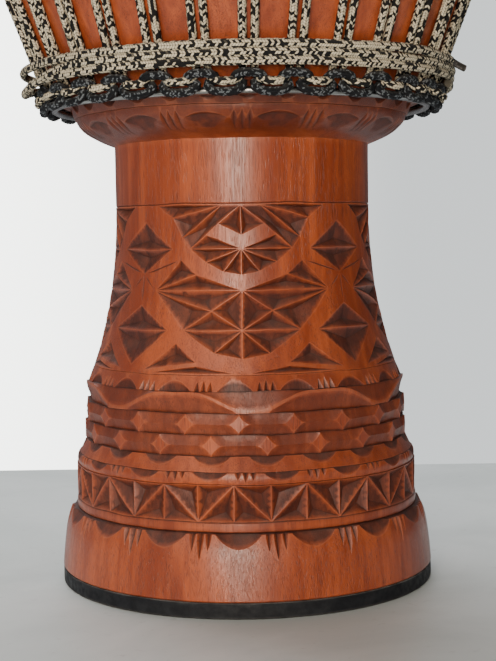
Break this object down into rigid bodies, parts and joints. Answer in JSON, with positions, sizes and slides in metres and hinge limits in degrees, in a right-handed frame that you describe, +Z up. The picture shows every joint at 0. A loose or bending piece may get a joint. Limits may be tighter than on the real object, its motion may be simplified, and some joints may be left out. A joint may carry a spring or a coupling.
{
  "type": "carved goblet drum",
  "caption": "Rope-tuned wooden goblet drum with a chip-carved stem, a laced bowl under steel rings, a stretched skin and a rubber-rimmed foot.",
  "frame": {"origin": "on the floor under the middle of the rubber foot ring", "axes": "+Z up along the drum's axis, from the foot to the skin; -Y towards the front"},
  "size_m": [0.365, 0.3652, 0.6121],
  "materials": {
    "red_wood": "oiled red-brown hardwood with fine dark pores, darker in the cuts",
    "black_rubber": "matt black rubber",
    "bright_steel": "bright drawn steel rod",
    "black_cord": "black braided cord with fine grey ticks",
    "braided_rope": "cream and black braided rope",
    "drum_skin": "pale shaved goat skin"
  },
  "bodies": {
    "root": {"drum_shell": "red_wood", "base_rubber_ring": "black_rubber", "bottom_ring": "bright_steel", "bottom_cradle": "black_cord", "lacing_rope": "braided_rope", "wrap_rope": "braided_rope", "crown_ring": "bright_steel", "drumhead_skin": "drum_skin"}
  },
  "joints": []
}
